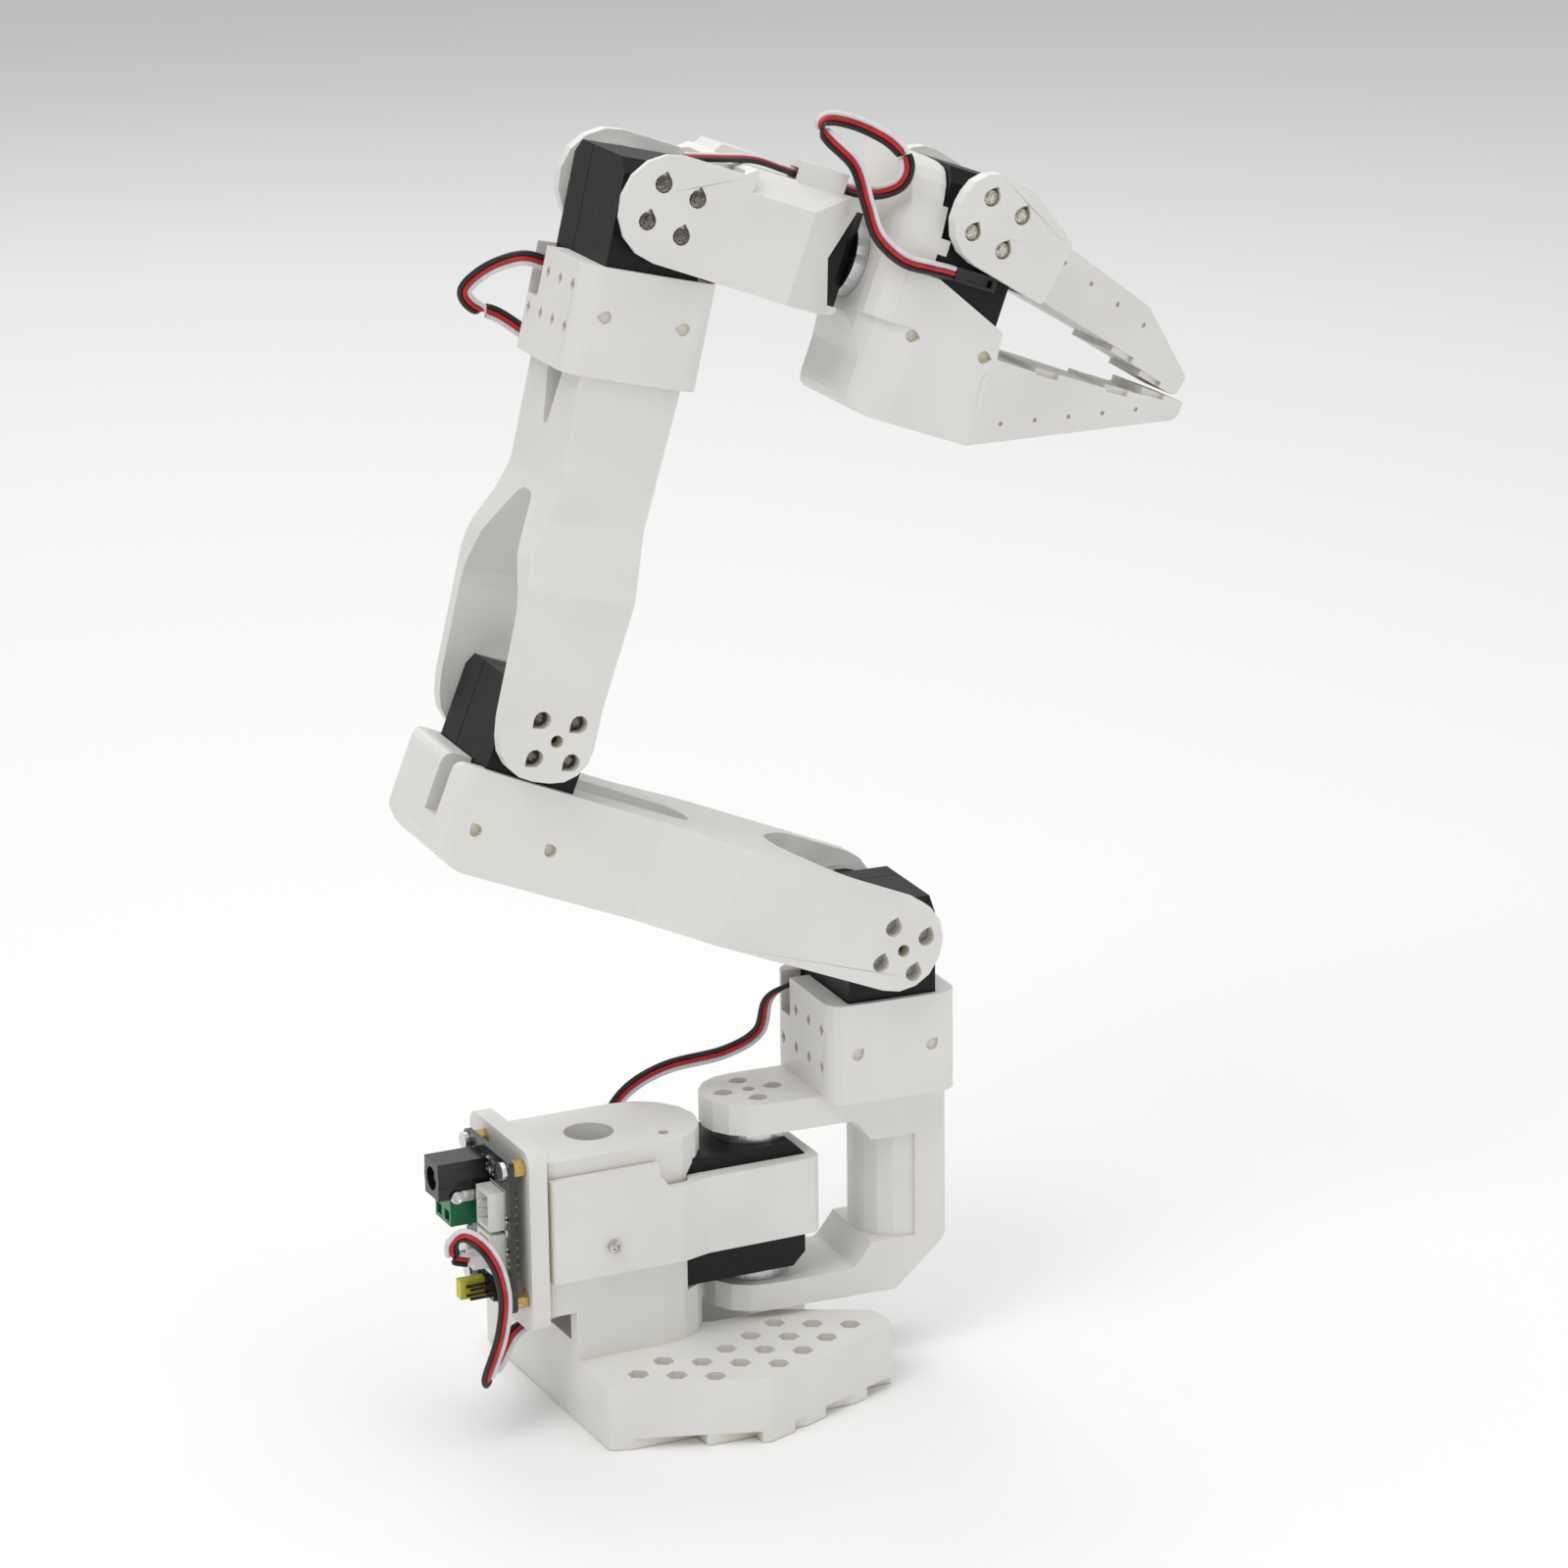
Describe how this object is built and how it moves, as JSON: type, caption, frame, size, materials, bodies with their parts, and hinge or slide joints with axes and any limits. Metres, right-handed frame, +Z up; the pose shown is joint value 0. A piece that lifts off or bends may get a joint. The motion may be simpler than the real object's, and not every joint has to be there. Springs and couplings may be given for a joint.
{
  "type": "articulated desktop robot arm with gripper",
  "caption": "Desktop robot arm in white printed plastic, driven by black servos, with a two-jaw gripper and a controller board on the back of its base.",
  "frame": {"origin": "on the floor, in the middle of the foot of the base tower, 40 mm behind the pan axis", "axes": "+Z up, +X to the front of the base, towards the pan axis, +Y to its left"},
  "size_m": [0.2149, 0.1018, 0.3366],
  "materials": {
    "printed_plastic": "satin, fine printed layers",
    "servo_plastic": "satin moulded",
    "horn_alloy": "machined",
    "steel": "plated",
    "brass": "turned",
    "circuit_board": "solder mask",
    "black_plastic": "moulded",
    "white_connector": "moulded",
    "terminal_green": "moulded",
    "yellow_plastic": "moulded",
    "servo_lead": "three bonded wires, black, red and white"
  },
  "bodies": {
    "base": {"base": "printed_plastic", "pan_servo_holder": "printed_plastic", "holder_screw_right": "steel", "holder_screw_left": "steel", "board_mounting_plate": "printed_plastic", "controller_board": "circuit_board", "board_standoff_1": "brass", "board_standoff_2": "brass", "board_standoff_3": "brass", "board_standoff_4": "brass", "board_screw_1": "steel", "board_screw_2": "steel", "board_screw_3": "steel", "board_screw_4": "steel", "power_jack": "black_plastic", "screw_terminal": "terminal_green", "usb_port": "steel", "servo_socket_upper": "white_connector", "servo_socket_lower": "white_connector", "pin_header": "black_plastic", "jumper_cap": "yellow_plastic", "board_plug": "white_connector", "lead_board": "servo_lead", "lead_shoulder": "servo_lead", "pan_servo_case": "servo_plastic", "pan_servo_gear_cover": "servo_plastic"},
    "shoulder": {"shoulder_bracket": "printed_plastic", "pan_drive_horn": "horn_alloy", "pan_idler_horn": "horn_alloy", "lift_servo_case": "servo_plastic", "lift_servo_gear_cover": "servo_plastic"},
    "upper_arm": {"upper_arm": "printed_plastic", "lift_drive_horn": "horn_alloy", "lift_idler_horn": "horn_alloy", "elbow_servo_case": "servo_plastic", "elbow_servo_gear_cover": "servo_plastic"},
    "lower_arm": {"lower_arm": "printed_plastic", "elbow_drive_horn": "horn_alloy", "elbow_idler_horn": "horn_alloy", "wrist_servo_case": "servo_plastic", "wrist_servo_gear_cover": "servo_plastic", "lead_lower_arm": "servo_lead"},
    "wrist": {"wrist_bracket": "printed_plastic", "wrist_drive_horn": "horn_alloy", "wrist_idler_horn": "horn_alloy", "roll_servo_case": "servo_plastic", "roll_servo_gear_cover": "servo_plastic", "lead_wrist": "servo_lead", "lead_gripper": "servo_lead"},
    "gripper": {"gripper_body": "printed_plastic", "roll_drive_horn": "horn_alloy", "jaw_servo_case": "servo_plastic", "jaw_servo_gear_cover": "servo_plastic", "jaw_servo_socket": "black_plastic"},
    "moving_jaw": {"moving_jaw": "printed_plastic", "jaw_drive_horn": "horn_alloy", "jaw_idler_horn": "horn_alloy"}
  },
  "joints": [
    {"name": "shoulder_pan", "type": "hinge", "parent": "base", "child": "shoulder", "pos_m": [0.04, 0, 0.0483], "axis": [0, 0, 1], "range_deg": [-107, 113], "deforming": ["lead_shoulder"]},
    {"name": "shoulder_lift", "type": "hinge", "parent": "shoulder", "child": "upper_arm", "pos_m": [0.07375, -0.00177, 0.119], "axis": [0.0523, 0.9986, 0], "range_deg": [-20, 158]},
    {"name": "elbow", "type": "hinge", "parent": "upper_arm", "child": "lower_arm", "pos_m": [-0.02011, 0.00315, 0.18695], "axis": [-0.0523, -0.9986, 0], "range_deg": [-60, 81]},
    {"name": "wrist_flex", "type": "hinge", "parent": "lower_arm", "child": "wrist", "pos_m": [0.01422, 0.00135, 0.31744], "axis": [-0.0523, -0.9986, 0], "range_deg": [0, 184], "deforming": ["lead_wrist"]},
    {"name": "wrist_roll", "type": "hinge", "parent": "wrist", "child": "gripper", "pos_m": [0.07058, -0.0016, 0.29677], "axis": [0.9377, -0.0491, -0.3438], "range_deg": [-160, 160], "deforming": ["lead_gripper"]},
    {"name": "jaw", "type": "hinge", "parent": "gripper", "child": "moving_jaw", "pos_m": [0.1004, -0.00316, 0.30735], "axis": [-0.0523, -0.9986, 0], "range_deg": [0, 100]}
  ]
}
